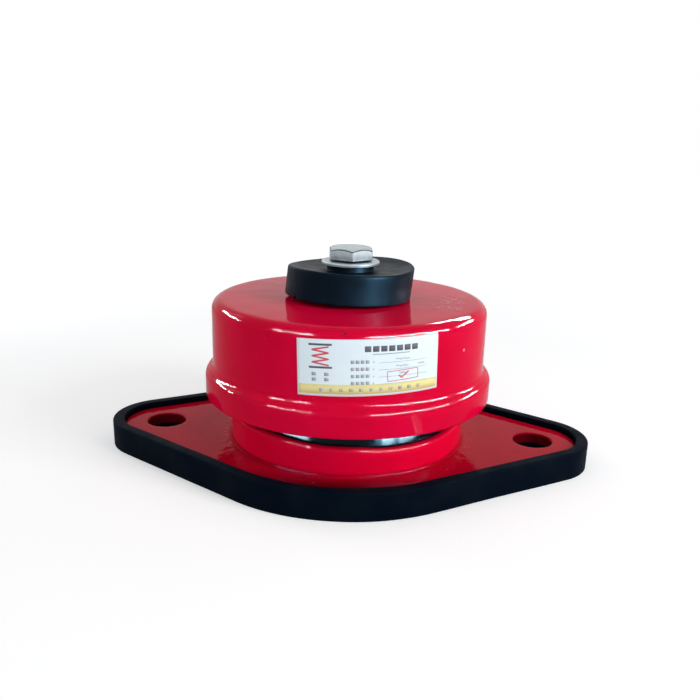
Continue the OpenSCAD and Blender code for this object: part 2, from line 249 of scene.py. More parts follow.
class Look:
    """A Principled material, with short ways to add the nodes that vary it."""

    def __init__(self, name, **values):
        self.material = bpy.data.materials.new(name)
        self.material.use_nodes = True
        self.nodes = self.material.node_tree.nodes
        self.links = self.material.node_tree.links
        self.bsdf = self.nodes["Principled BSDF"]
        self.place = self.nodes.new("ShaderNodeTexCoord").outputs["Object"]
        for socket, value in values.items():
            self.bsdf.inputs[socket.replace("_", " ")].default_value = value

    def feed(self, socket, value):
        """Links an output to a socket, or sets a plain value on it."""
        if isinstance(value, bpy.types.NodeSocket):
            self.links.new(value, socket)
        else:
            socket.default_value = value

    def set(self, socket, value):
        self.feed(self.bsdf.inputs[socket], value)

    def noise(self, size, detail=2.0, stretch=(1, 1, 1), distortion=0.0):
        """Noise from 0 to 1 with features of about size millimetres."""
        scaled = self.nodes.new("ShaderNodeVectorMath")
        scaled.operation = "MULTIPLY"
        self.links.new(self.place, scaled.inputs[0])
        scaled.inputs[1].default_value = [1 / (size * MM * s) for s in stretch]
        node = self.nodes.new("ShaderNodeTexNoise")
        self.links.new(scaled.outputs[0], node.inputs["Vector"])
        node.inputs["Scale"].default_value = 1.0
        node.inputs["Detail"].default_value = detail
        node.inputs["Distortion"].default_value = distortion
        return node.outputs["Fac"]

    def fit(self, value, low, high, to_low=0.0, to_high=1.0):
        """Maps low..high of a value to to_low..to_high, clamped."""
        node = self.nodes.new("ShaderNodeMapRange")
        self.feed(node.inputs["Value"], value)
        limits = {"From Min": low, "From Max": high, "To Min": to_low, "To Max": to_high}
        for socket, number in limits.items():
            node.inputs[socket].default_value = number
        return node.outputs["Result"]

    def math(self, operation, a, b):
        node = self.nodes.new("ShaderNodeMath")
        node.operation = operation
        self.feed(node.inputs[0], a)
        self.feed(node.inputs[1], b)
        return node.outputs[0]

    def mix(self, factor, a, b):
        """Colour a at factor 0 and colour b at factor 1."""
        node = self.nodes.new("ShaderNodeMix")
        node.data_type = "RGBA"
        self.feed(node.inputs["Factor"], factor)
        for socket, colour in zip(("A", "B"), (a, b)):
            socket = [s for s in node.inputs if s.name == socket and s.type == "RGBA"][0]
            self.feed(socket, colour if isinstance(colour, bpy.types.NodeSocket) else (*colour, 1.0))
        return [s for s in node.outputs if s.type == "RGBA"][0]

    def spot(self, point, radius, soft=1.6):
        """1 within radius millimetres of a point, falling to 0 at soft times the radius."""
        node = self.nodes.new("ShaderNodeVectorMath")
        node.operation = "DISTANCE"
        self.links.new(self.place, node.inputs[0])
        node.inputs[1].default_value = Vector(point) * MM
        return self.fit(node.outputs["Value"], radius * MM, radius * soft * MM, 1.0, 0.0)

    def axis_distance(self, x=0.0):
        """Distance in metres from the upright line through x millimetres on the long axis."""
        flat = self.nodes.new("ShaderNodeVectorMath")
        flat.operation = "MULTIPLY"
        self.links.new(self.place, flat.inputs[0])
        flat.inputs[1].default_value = (1, 1, 0)
        reach = self.nodes.new("ShaderNodeVectorMath")
        reach.operation = "DISTANCE"
        self.links.new(flat.outputs[0], reach.inputs[0])
        reach.inputs[1].default_value = (x * MM, 0, 0)
        return reach.outputs["Value"]

    def edge_distance(self):
        """Distance in metres from the base's long axis."""
        axes = self.nodes.new("ShaderNodeSeparateXYZ")
        self.links.new(self.place, axes.inputs[0])
        return self.math("ABSOLUTE", axes.outputs["Y"], 0.0)

    def bump(self, height, depth, normal=None):
        """Bump from a height of 0 to 1, depth millimetres deep."""
        node = self.nodes.new("ShaderNodeBump")
        node.inputs["Strength"].default_value = 1.0
        node.inputs["Distance"].default_value = depth * MM
        self.links.new(height, node.inputs["Height"])
        if normal:
            self.links.new(normal, node.inputs["Normal"])
        self.links.new(node.outputs["Normal"], self.bsdf.inputs["Normal"])
        return node.outputs["Normal"]


RED = (0.70, 0.0012, 0.040)
DEEP_RED = (0.63, 0.0008, 0.030)
# The cup's reds are lighter copies of the bell's enamel: painted light on the lower wall
CUP_LIT_RED = (0.86, 0.0012, 0.042)
CUP_LIT_DEEP = (0.80, 0.0010, 0.034)
# The weld fillet's red is a darker copy of the same enamel: painted shade in the corner at the cup's foot
WELD_SHADED_RED = (0.34, 0.0008, 0.018)
# The plate's reds are darker copies of the same enamel: painted shade under the bell
PLATE_SHADED_RED = (0.52, 0.0012, 0.022)
PLATE_DEEP = (0.44, 0.0010, 0.016)
DIRT = (0.16, 0.02, 0.02)
# Painted shade on the plate, in its holes and along the mat's lip
SHADE_DARK_RED = (0.05, 0.0005, 0.002)
DUST = (0.62, 0.30, 0.32)


def enamel_look(name, light, deep, peel=0.05, ior=1.10):
    """Thick glossy red enamel, with orange peel, specks of dust and dirt, and duller scuffs."""
    look = Look(name, IOR=ior)
    colour = look.mix(look.fit(look.noise(26, 3), 0.35, 0.68), light, deep)
    colour = look.mix(look.fit(look.noise(1.1, 1), 0.80, 0.84), colour, DIRT)
    look.colour = look.mix(look.fit(look.noise(0.8, 1, (1, 1, 0.7)), 0.815, 0.84), colour, DUST)
    look.set("Base Color", look.colour)
    look.gloss = look.fit(look.noise(9, 4, distortion=0.6), 0.50, 0.78, 0.01, 0.05)
    look.set("Roughness", look.gloss)
    look.normal = look.bump(look.noise(5.5, 2), peel * 0.65)
    look.normal = look.bump(look.noise(1.5, 1), peel * 0.70, look.normal)
    return look


def bell_look():
    """The bell's enamel, with its marks: specks of dirt and dust, and a dull, wrinkled patch on top."""
    look = enamel_look("bell_enamel", RED, DEEP_RED)
    colour = look.colour
    for point, radius in DIRT_SPECKS:
        colour = look.mix(look.spot(point, radius), colour, DIRT)
    for point, radius in DUST_SPECKS:
        colour = look.mix(look.spot(point, radius), colour, DUST)
    spots = [look.spot(point, SCUFF_R, SCUFF_SOFT) for point in BELL_SCUFF]
    near = look.math("MAXIMUM", look.math("MAXIMUM", spots[0], spots[1]), spots[2])
    patch = look.math("MULTIPLY", near, look.fit(look.noise(4.5, 4, (0.6, 1.4, 1)), 0.40, 0.62))
    look.set("Base Color", look.mix(look.fit(patch, 0.0, 1.0, 0.0, 0.55), colour, PLATE_DEEP))
    look.set("Roughness", look.math("ADD", look.gloss, look.fit(patch, 0.0, 1.0, 0.0, 0.30)))
    look.bump(patch, 0.12, look.normal)
    return look


def plate_look():
    """The plate's enamel, darkened by painted shade in its holes and along the lip, and rippled round the
    foot.
    """
    look = enamel_look("plate_enamel", PLATE_SHADED_RED, PLATE_DEEP)
    shade = look.fit(look.edge_distance(), PLATE_SHADE[0] * MM, PLATE_SHADE[1] * MM, 0.0, 1.0)
    # Painted shade in the bolt holes' bores
    for x in (-HOLE_X, HOLE_X):
        bore_shade = look.fit(look.axis_distance(x), BOLT_HOLE_R * MM, (BOLT_HOLE_R + 0.8) * MM, 0.85, 0.0)
        shade = look.math("MAXIMUM", shade, bore_shade)
    look.set("Base Color", look.mix(shade, look.colour, SHADE_DARK_RED))
    foot = look.fit(look.axis_distance(), (BEAD_HIGH.x + 1.0) * MM, (BEAD_HIGH.x + 10.0) * MM, 1.0, 0.0)
    look.bump(look.math("MULTIPLY", foot, look.noise(3.2, 2, distortion=0.5)), 0.30, look.normal)
    return look


# Bluish tint on the rubber's gloss: the sky light's colour painted into its reflections
RUBBER_SKY_TINT = (0.50, 0.85, 1.0, 1.0)


def rubber_look(name, colour, worn, roughness, grain, ior):
    """Moulded black rubber: faint grain, greyish bloom, duller patches, and gloss tinted bluish as a
    painted reflection of sky light.
    """
    look = Look(name, IOR=ior, Specular_Tint=RUBBER_SKY_TINT)
    bloom = look.fit(look.noise(17, 5), 0.42, 0.78)
    look.set("Base Color", look.mix(bloom, colour, worn))
    look.set("Roughness", look.fit(look.noise(6, 4), 0.3, 0.7, roughness - 0.05, roughness + 0.08))
    normal = look.bump(look.noise(0.35, 2), grain)
    look.bump(look.noise(7, 2), grain * 4, normal)
    return look


def metal_look(name, colour, stain, roughness, grain):
    """Plated or bare steel, with stains, fine grain and uneven polish."""
    look = Look(name, Metallic=1.0)
    cloud = look.fit(look.noise(3.5, 5, distortion=0.8), 0.42, 0.72)
    look.set("Base Color", look.mix(cloud, colour, stain))
    look.set("Roughness", look.fit(look.noise(1.6, 4), 0.3, 0.7, roughness - 0.06, roughness + 0.1))
    normal = look.bump(look.noise(0.25, 3), grain)
    look.bump(look.noise(2.4, 2), grain * 3, normal)
    return look


def paper_look(name, colour, faded, roughness=0.42):
    """Printed sticker stock: uneven ink and a faint crease in its gloss."""
    look = Look(name, IOR=1.35)
    look.set("Base Color", look.mix(look.fit(look.noise(8, 4), 0.35, 0.7), colour, faded))
    look.set("Roughness", look.fit(look.noise(4, 3), 0.3, 0.7, roughness - 0.08, roughness + 0.08))
    look.bump(look.noise(6, 2), 0.03)
    return look


bell_enamel = bell_look().material
cup_enamel_lit = enamel_look("cup_enamel_lit", CUP_LIT_RED, CUP_LIT_DEEP).material
weld_enamel_shaded = enamel_look("weld_enamel_shaded", WELD_SHADED_RED, PLATE_DEEP, 0.08, 1.05).material
plate_enamel = plate_look().material
mat_rubber = rubber_look(
    "mat_rubber", (0.0008, 0.0032, 0.0088), (0.004, 0.007, 0.012), 0.55, 0.012, 1.10).material
sleeve_rubber = rubber_look(
    "sleeve_rubber", (0.001, 0.003, 0.008), (0.003, 0.005, 0.010), 0.14, 0.002, 1.25).material
pad_rubber = rubber_look(
    "pad_rubber", (0.001, 0.004, 0.011), (0.004, 0.008, 0.015), 0.42, 0.006, 1.16).material
inner_rubber = rubber_look(
    "inner_rubber", (0.008, 0.008, 0.009), (0.018, 0.018, 0.019), 0.5, 0.010, 1.3).material
zinc = metal_look("zinc_plate", (0.48, 0.535, 0.57), (0.40, 0.45, 0.48), 0.44, 0.0015).material
# Dark zinc for painted shade under the bolt's head and a painted dark line on its chamfer
zinc_shaded_edge = metal_look("zinc_shaded_edge", (0.07, 0.08, 0.085), (0.14, 0.155, 0.165), 0.44, 0.0015).material
oiled_steel = metal_look("oiled_steel", (0.16, 0.16, 0.17), (0.09, 0.085, 0.08), 0.38, 0.010).material
coil_steel = metal_look("coil_steel", (0.11, 0.115, 0.125), (0.07, 0.065, 0.06), 0.34, 0.008).material
weld_steel = metal_look("weld_steel", (0.20, 0.19, 0.18), (0.10, 0.08, 0.07), 0.45, 0.040).material
label_paper = paper_look("label_paper", (0.78, 0.90, 0.97), (0.81, 0.92, 0.98)).material
label_yellow = paper_look("label_yellow", (0.84, 0.75, 0.30), (0.80, 0.73, 0.36)).material
label_ink = paper_look("label_ink", (0.10, 0.11, 0.14), (0.17, 0.18, 0.21)).material
label_grey = paper_look("label_grey", (0.36, 0.39, 0.45), (0.46, 0.49, 0.55)).material
label_red = paper_look("label_red", (0.70, 0.09, 0.12), (0.74, 0.18, 0.20)).material


# Base

def base_edge(run=1.6):
    """(point, outward normal) pairs once round the mat's outline, about run millimetres apart."""
    lean = math.pi / 2 - math.asin((CENTRE_R - END_R) / HOLE_X)
    arcs = [
        (HOLE_X, END_R, -lean, lean),
        (0.0, CENTRE_R, lean, math.pi - lean),
        (-HOLE_X, END_R, math.pi - lean, math.pi + lean),
        (0.0, CENTRE_R, math.pi + lean, 2 * math.pi - lean),
    ]
    edge = []
    for x, r, start, end in arcs:
        steps = math.ceil((end - start) * r / run)
        for k in range(steps + 1):
            a = start + (end - start) * k / steps
            normal = Vector((math.cos(a), math.sin(a)))
            edge.append((Vector((x, 0)) + r * normal, normal))
    full = []
    for (here, normal), (there, _) in zip(edge, edge[1:] + edge[:1]):
        parts = max(1, math.floor((there - here).length / run))
        full += [(here.lerp(there, k / parts), normal) for k in range(parts)]
    return full


def slab(name, rim, holes, look):
    """A lozenge slab from its rim's (inset, height) path and its holes' (x, (radius, height) path).

    Each path runs from the underside to the top side and ends a little way in on the flat."""
    edge = base_edge()
    sides = 72
    work = bmesh.new()

    def wall(loops):
        """Joins loops of points, and returns the edges of the first and the last loop."""
        made = [[work.verts.new((x * MM, y * MM, z * MM)) for x, y, z in loop] for loop in loops]
        count = len(made[0])
        for low, high in zip(made, made[1:]):
            for j in range(count):
                k = (j + 1) % count
                work.faces.new((low[j], low[k], high[k], high[j]))
        ends = []
        for loop in (made[0], made[-1]):
            ends.append([work.edges.get((loop[j], loop[(j + 1) % count])) for j in range(count)])
        return ends

    under, over = wall([[(*(p - inset * n), z) for p, n in edge] for inset, z in rim])
    for x, path in holes:
        turns = [2 * math.pi * k / sides for k in range(sides)]
        low, high = wall([[(x + r * math.cos(a), r * math.sin(a), z) for a in turns] for r, z in path])
        under += low
        over += high
    for border in (under, over):
        bmesh.ops.triangle_fill(work, use_beauty=True, use_dissolve=False, edges=border)
    return new_piece(name, work, [look])


def hole_path(radius, low, high, edge):
    """A drilled hole's wall with its edges rounded over, as (radius, height) points."""
    flat = radius + 2.5
    corners = [(flat, low, 0), (radius, low, edge), (radius, high, edge), (flat, high, 0)]
    return rounded(corners, closed=False)


def base_holes(low, high, edge):
    return [(x, hole_path(r, low, high, edge))
            for x, r in ((-HOLE_X, BOLT_HOLE_R), (0.0, ACCESS_R), (HOLE_X, BOLT_HOLE_R))]


def make_base():
    floor = PLATE_LOW.z
    flat = LIP_W + 4.5
    rim = rounded([
        (flat, 0.0, 0), (0.0, 0.0, 0.3), (0.0, MAT_HIGH.z, 0.9), (LIP_W, MAT_HIGH.z, 0.7),
        (LIP_W, floor, 0.3), (flat, floor, 0),
    ], closed=False, step=15.0)
    mat = slab("mat_tray", rim, base_holes(0.0, floor, 0.4), mat_rubber)
    ripple(mat, 0.12, 24.0, 3.0)
    dress(mat, "base", "mat_rubber", "base_mat")

    top = PLATE_HIGH.z
    flat = PLATE_INSET + 4.0
    rim = rounded([
        (flat, floor, 0), (PLATE_INSET, floor, 0.4), (PLATE_INSET, top, 1.0), (flat, top, 0),
    ], closed=False, step=15.0)
    plate = slab("plate_skin", rim, base_holes(floor, top, 0.9), plate_enamel)
    dress(plate, "base", "red_enamel", "base_plate")


# Housings

def make_lower_housing():
    r, low, top = CUP_HIGH.x, CUP_LOW.z, CUP_HIGH.z
    hole = r - CUP_RIM_W
    cup = lathe("lower_shell", rounded([
        (r - CUP_WALL, low, 0), (r, low, 0), (r, top, CUP_EDGE_R), (hole, top, 0.5),
        (hole, top - CUP_WALL, 0.3), (r - CUP_WALL, top - CUP_WALL, 0.6),
    ]), cup_enamel_lit)
    ripple(cup, 0.05, 9.0, 5.0)
    ripple(cup, 0.015, 3.0, 6.0)
    for v in cup.data.vertices:
        turn = math.degrees(math.atan2(v.co.x, -v.co.y))
        wave = sum(h * smooth(*grow, turn) * smooth(*fade, turn) for h, grow, fade in CUP_WAVES)
        v.co.z += wave * MM * smooth(low + CUP_STILL_H, top - CUP_LIP_H, v.co.z / MM)
    dress(cup, "base", "red_enamel", "lower_housing")

    foot, leg, root, clear = BEAD_LOW.z, BEAD_HIGH.x - r, r - 0.3, 0.2
    bead = lathe("weld_fillet", rounded([
        (root, low, 0), (r + leg, low, 0), (r + 0.05, low + 0.05, 0.9 * leg),
        (r, low + leg, 0), (root, low + leg, 0),
    ], gap=0.8), weld_enamel_shaded)
    ripple(bead, 0.10, 4.5, 8.0, lambda p: 1.0 if foot + clear < p.z < foot + leg - clear else 0.0)
    dress(bead, "base", "red_enamel", "lower_weld_bead")


def make_sleeve():
    low, top = SLEEVE_LOW.z, SLEEVE_HIGH.z
    inner = SLEEVE_R - SLEEVE_WALL
    foot_r = CUP_HIGH.x - CUP_WALL - SLEEVE_FIT
    lip_low = top - SLEEVE_FOOT
    sleeve = lathe("sleeve_rubber", rounded([
        (inner, low, 0.4), (foot_r, low, 0.4),
        (foot_r, low + SLEEVE_FOOT, 0.6), (SLEEVE_R, low + SLEEVE_FOOT, 0.8),
        (SLEEVE_R, lip_low, 1.2), (SLEEVE_HIGH.x, lip_low, 0.8),
        (SLEEVE_HIGH.x, top, 0.8), (inner, top, 0.8),
    ]), sleeve_rubber, 256)
    ripple(sleeve, 0.08, 4.0, 9.0)
    dress(sleeve, "base", "sleeve_rubber", "damping_sleeve")


def make_upper_housing():
    flare = BELL_HIGH.x - BODY_R
    # The step's two arcs stand in for a slanted line between two corners
    half = math.atan2(flare, JOGGLE_TOP - JOGGLE_LOW)
    bend = 0.99 * math.hypot(flare, JOGGLE_TOP - JOGGLE_LOW) / (4 * math.sin(half))
    reach = bend * math.tan(half)
    drop = BELL_WALL * math.tan(half)
    high, low = JOGGLE_TOP - reach, JOGGLE_LOW + reach
    body_in, hem_in = BODY_R - BELL_WALL, BELL_HIGH.x - BELL_WALL
    top, under, hem = BELL_HIGH.z, BELL_HIGH.z - BELL_WALL, BELL_LOW.z
    bell = lathe("upper_shell", rounded([
        (BELL_HOLE_R, under, 0.3), (body_in, under, BELL_EDGE_R - BELL_WALL),
        (body_in, high - drop, bend + BELL_WALL), (hem_in, low - drop, bend - BELL_WALL),
        (hem_in, hem, 0.8), (BELL_HIGH.x, hem, 1.0), (BELL_HIGH.x, low, bend), (BODY_R, high, bend),
        (BODY_R, top, BELL_EDGE_R), (BELL_HOLE_R, top, 0.3),
    ], step=7.5), bell_enamel)
    ripple(bell, 0.07, 11.0, 1.0)
    ripple(bell, 0.028, 3.2, 2.0)
    dress(bell, "upper", "red_enamel", "upper_housing")


# Spring

def make_spring():
    height = SPRING_HIGH.z - SPRING_LOW.z
    coil_r = SPRING_HIGH.x - WIRE_R
    turns, closed = 4.5, 0.75
    flat = math.radians(75)
    rise = WIRE_R * math.sin(flat)
    active = turns - 2 * closed

    def middle(t):
        """Height of the wire's centre after t turns: closed ends, and an even pitch between them."""
        if t < closed:
            return rise - (closed - t) * 2 * WIRE_R
        if t > turns - closed:
            return height - rise + (t - turns + closed) * 2 * WIRE_R
        return rise + (height - 2 * rise) * (t - closed) / active

    turn_steps, half_sides = 72, 12
    steps = round(turn_steps * turns)
    points = []
    for i in range(steps + 1):
        z = middle(i / turn_steps)
        a = 2 * math.pi * i / turn_steps
        low = math.asin(max(-math.sin(flat), -z / WIRE_R))
        high = math.asin(min(math.sin(flat), (height - z) / WIRE_R))
        for j in range(2 * half_sides):
            k = j % half_sides / (half_sides - 1)
            lean = low + (high - low) * k if j < half_sides else math.pi - high + (high - low) * k
            r = coil_r + WIRE_R * math.cos(lean)
            points.append((r * math.cos(a), r * math.sin(a), SPRING_LOW.z + z + WIRE_R * math.sin(lean)))
    sides = 2 * half_sides
    faces = grid_faces(steps + 1, sides, close_rows=False)
    faces += [tuple(range(sides)), tuple(steps * sides + j for j in range(sides))]
    spring = solid("spring_wire", points, faces, [coil_steel])
    dress(spring, "base", "spring_steel", "main_spring")
    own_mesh(spring)


# Top pad, washer and bolt

def make_pad():
    edge, low_edge = 0.8, 0.3
    # One side of the foot is lifted, the rim is curled, and the top leans over; still is the share of the
    # height that stays in place
    lift, lift_turn = 2.1, math.radians(218)
    twist, twist_turn = 0.8, math.radians(49)
    tilt, tilt_turn = 0.35, math.radians(303)
    lean, lean_turn, still = 1.7, math.radians(28), 0.7
    notch_h, notch_turn, notch_half = 0.9, math.radians(222), math.radians(1.8)
    nick_in, nick_turn, nick_half, nick_z, nick_h = 1.0, math.radians(190), math.radians(2.6), 3.0, 2.2
    boss_top = WASHER_LOW.z - BELL_HIGH.z
    grip = PAD_BOSS_R + edge
    segments, parts, arc = 360, 12, 7

    def out(r):
        """Share of the way from the gripped centre out to the rim."""
        return max(0.0, (r - grip) / (PAD_R - grip))

    def peak(gap):
        """1 at no gap, falling straight to 0 at a gap of 1."""
        return max(0.0, 1 - abs(gap))

    def foot(r, a):
        raised = lift * (1 + math.cos(a - lift_turn)) / 2 * out(r) ** 2
        return raised + notch_h * peak((a - notch_turn) / notch_half) * out(r) ** 9

    def face(r, a):
        curl = twist * math.cos(2 * (a - twist_turn)) + tilt * math.cos(a - tilt_turn)
        return PAD_DISH_H + (PAD_RIM_H - PAD_DISH_H + curl) * out(r) ** 1.5

    def place(r, a, z):
        shear = lean * (z / PAD_RIM_H - still) * out(r)
        r -= nick_in * peak((a - nick_turn) / nick_half) * peak((z - nick_z) / nick_h) * out(r) ** 9
        return (r * math.cos(a) + shear * math.cos(lean_turn),
                r * math.sin(a) + shear * math.sin(lean_turn), BELL_HIGH.z + z)

    def loop(a):
        """The pad's outline at one turn: underside, lower edge, wall, upper edge, face and boss."""
        rim = rounded([
            (BELL_HOLE_R, 0.0, 0), (PAD_R, foot(PAD_R, a), low_edge),
            (PAD_R, face(PAD_R, a), edge), (grip, PAD_DISH_H, 0),
        ], closed=False, step=15.0, gap=30.0)
        start, side = rim[1:1 + arc], rim[1 + arc:1 + 2 * arc]
        wall = [start[-1].lerp(side[0], k / parts) for k in range(1, parts)]
        inwards = [side[-1].x + (grip - side[-1].x) * k / parts for k in range(1, parts)]
        outwards = [BELL_HOLE_R + (start[0].x - BELL_HOLE_R) * k / parts for k in range(parts)]
        under = [(r, foot(r, a)) for r in outwards]
        over = [(r, face(r, a)) for r in inwards]
        boss = rounded([
            (grip + 0.6, PAD_DISH_H, 0), (PAD_BOSS_R, PAD_DISH_H, 0.5),
            (PAD_BOSS_R, boss_top, 0.5), (BELL_HOLE_R, boss_top, 0),
        ], closed=False, step=15.0)
        return under + [tuple(p) for p in start + wall + side] + over + [tuple(p) for p in boss[1:]]

    points = []
    size = 0
    for i in range(segments):
        a = 2 * math.pi * i / segments
        ring = loop(a)
        size = len(ring)
        points += [place(r, a, z) for r, z in ring]
    pad = solid("top_rubber", points, grid_faces(segments, size), [pad_rubber])
    ripple(pad, 0.10, 9.0, 12.0)
    dress(pad, "upper", "pad_rubber", "top_pad")


def make_washer():
    low, top, r = WASHER_LOW.z, WASHER_HIGH.z, WASHER_HIGH.x
    hole = BOLT_R + 0.6
    washer = lathe("flat_washer", rounded([
        (hole, low, 0.15), (r, low, 0.25), (r, top, 0.55), (hole, top, 0.2),
    ], step=15.0, gap=1.5), zinc, 192)
    ripple(washer, 0.03, 5.0, 14.0)
    dress(washer, "upper", "zinc_steel", "top_washer")


def make_bolt():
    low, top, foot = WASHER_HIGH.z, BOLT_HIGH.z, BOLT_LOW.z
    head = top - low
    corner_r = BOLT_FLATS / math.sqrt(3)
    face_r = 0.95 * BOLT_FLATS / 2
    slope = math.tan(math.radians(30))
    corners = [(corner_r * math.cos(BOLT_TURN + math.radians(60 * k)),
                corner_r * math.sin(BOLT_TURN + math.radians(60 * k)), 0.9) for k in range(6)]
    outline = rounded(corners, step=10.0, gap=0.8)
    count = len(outline)

    def chamfer(r):
        return head - max(0.0, r - face_r) * slope

    def ring(inset, height):
        """The hexagon moved inwards, at a height that its own radius may set."""
        loop = []
        for p in outline:
            r = p.length - inset
            x, y = p.normalized() * r
            loop.append((x, y, low + (height(p.length) if callable(height) else height)))
        return loop

    def disc(r, height):
        return [(*(p.normalized() * r), low + height) for p in outline]

    pitch, depth = 1.75, 0.55
    thread_low, tip = foot - low, 1.2
    shank = [disc(BOLT_R - tip - 1.0, thread_low), disc(BOLT_R - tip, thread_low)]
    steps = math.ceil((-thread_low - tip) / pitch * 6)
    for k in range(steps + 1):
        z = thread_low + tip + (-thread_low - tip) * k / steps
        loop = []
        for p in outline:
            phase = (z / pitch - math.atan2(p.y, p.x) / (2 * math.pi)) % 1.0
            share = min(1.0, k / 6, (steps - k) / 6)
            r = BOLT_R - depth * share * abs(2 * phase - 1)
            loop.append((*(p.normalized() * r), low + z))
        shank.append(loop)
    bearing = [disc(face_r, 0.0), disc(face_r, 0.55), ring(0.35, 0.6), ring(0.1, 0.7)]
    flats = [ring(0.0, 0.95), ring(0.0, lambda r: 0.5 * chamfer(r))]
    edge = [ring(0.0, lambda r: chamfer(r) - 0.45), ring(0.06, lambda r: chamfer(r) - 0.08)]
    crown = [ring(0.25, lambda r: chamfer(r) + 0.05), disc(face_r + 0.12, head - 0.12),
             disc(face_r - 0.12, head - 0.02), disc(face_r - 0.5, head),
             disc(0.6 * face_r, head), disc(0.25 * face_r, head)]
    rings, slots = [], []
    # The bearing ring under the head and the chamfer's edge are darker: painted shade under the head, and
    # a painted dark line along the chamfer
    for part, slot in ((shank, 0), (bearing, 1), (flats, 0), (edge, 1), (crown, 0)):
        rings += part
        slots += [slot] * count * len(part)
    points = [p for loop in rings for p in loop]
    faces = grid_faces(len(rings), count, close_rows=False)
    faces += [tuple(range(count)), tuple((len(rings) - 1) * count + j for j in range(count))]
    bolt = solid("hex_bolt", points, faces, [zinc, zinc_shaded_edge], slots)
    dress(bolt, "upper", "zinc_steel", "top_bolt")


# Label

def wrap(u, v, lift):
    """Place of a point of the label, u across and v up from its middle, lift off the bell's wall."""
    across = u * math.cos(LABEL_TILT) - v * math.sin(LABEL_TILT)
    z = LABEL_Z + u * math.sin(LABEL_TILT) + v * math.cos(LABEL_TILT)
    r = BODY_R + LABEL_FILM + lift
    past = max(0.0, z - BELL_HIGH.z + BELL_EDGE_R)
    r -= BELL_EDGE_R - math.sqrt(BELL_EDGE_R ** 2 - past ** 2)
    a = LABEL_TURN + across / BODY_R
    return (r * math.cos(a), r * math.sin(a), z)


def make_label():
    columns, rows = 48, 20
    points = []
    for lift in (0.0, LABEL_T):
        for i in range(rows + 1):
            v = LABEL_H * (i / rows - 0.5)
            points += [wrap(LABEL_W * (j / columns - 0.5), v, lift) for j in range(columns + 1)]
    row = columns + 1
    sheet = row * (rows + 1)
    back = grid_faces(rows + 1, row, False, False)
    faces = back + [tuple(sheet + k for k in face) for face in back]
    border = [j for j in range(columns)] + [i * row + columns for i in range(rows)]
    border += [rows * row + j for j in range(columns, 0, -1)] + [i * row for i in range(rows, 0, -1)]
    for here, there in zip(border, border[1:] + border[:1]):
        faces.append((here, there, sheet + there, sheet + here))
    label = solid("label_sheet", points, faces, [label_paper])
    dress(label, "upper", "label_paper", "inspection_label")


INK, GREY, YELLOW, STAMP = range(4)


def make_print():
    """Generic print: a colour band, blank rows to fill in, a coil sign and a ticked box."""
    points, faces, slots = [], [], []
    film = 0.02

    def ribbon(path, width, ink, run=1.0):
        """A thin closed strip of ink along a path of (u, v) points from the label's lower left corner."""
        fine = []
        for here, there in zip(path, path[1:]):
            parts = max(1, math.ceil((Vector(there) - Vector(here)).length / run))
            fine += [Vector(here).lerp(Vector(there), k / parts) for k in range(parts)]
        fine.append(Vector(path[-1]))
        first = len(points)
        for i, p in enumerate(fine):
            along = (fine[min(i + 1, len(fine) - 1)] - fine[max(i - 1, 0)]).normalized()
            side = Vector((-along.y, along.x)) * width / 2
            for q, lift in ((p - side, -film), (p + side, -film), (p + side, film), (p - side, film)):
                points.append(wrap(q.x - LABEL_W / 2, q.y - LABEL_H / 2, LABEL_T + lift))
        made = grid_faces(len(fine), 4, close_rows=False)
        made += [(0, 1, 2, 3), tuple(4 * len(fine) - 4 + k for k in range(4))]
        faces.extend(tuple(first + k for k in face) for face in made)
        slots.extend([ink] * len(made))

    def bar(u, v, width, height, ink):
        ribbon([(u, v), (u + width, v)], height, ink)

    bar(0.5, 2.7, LABEL_W - 1.0, 3.8, YELLOW)
    for k in range(11):
        bar(8.4 + 3.75 * k, 2.5, 1.5, 1.3, GREY)

    # Heading
    for k in range(7):
        bar(25.5 + 3.05 * k, 18.3 - 0.03 * k, 2.4, 2.2, INK)
    bar(28.5, 16.2, 14.5, 0.35, GREY)

    # Rows to fill in, each with a field mark, a rule and a pen stroke
    for k in range(4):
        v = 13.4 - 2.75 * k
        for n in range(4):
            bar(20.3 + 1.85 * n, v, 1.4, 1.3, GREY)
        bar(28.6, v - 0.2, 0.5, 0.5, GREY)
        bar(31.0, v - 0.6, 19.5, 0.16, GREY)
    waves = 14
    for u, v, length in ((37.5, 13.9, 5.5), (37.5, 11.2, 5.0), (46.5, 11.3, 2.8), (38.8, 8.4, 2.6)):
        wave = [(u + length * k / waves, v + 0.35 * math.sin(2.1 * k) + 0.15 * math.sin(0.9 * k))
                for k in range(waves + 1)]
        ribbon(wave, 0.24, GREY, 0.4)

    # Stamped box with a tick
    box = [(34.3, 5.3), (46.6, 5.9), (46.4, 9.7), (34.1, 9.1)]
    for here, there in zip(box, box[1:] + box[:1]):
        ribbon([here, there], 0.28, STAMP)
    ribbon([(38.6, 7.5), (39.8, 6.5), (42.6, 8.8)], 0.55, STAMP, 0.5)

    # Coil sign between two plates
    bar(4.6, 20.0, 8.8, 0.8, INK)
    bar(4.6, 11.2, 8.8, 0.8, INK)
    coil = [(9.0 + 3.2 * (-1) ** k, 12.0 + 1.2 * k) for k in range(7)]
    ribbon(coil, 0.65, STAMP, 0.5)
    for v in (8.6, 6.5):
        for u in (5.6, 10.4):
            bar(u, v, 1.7, 1.3, GREY)

    ink = solid("label_print", points, faces, [label_ink, label_grey, label_yellow, label_red], slots)
    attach(ink, "upper")


# Pieces inside, which keep their CAD meshes

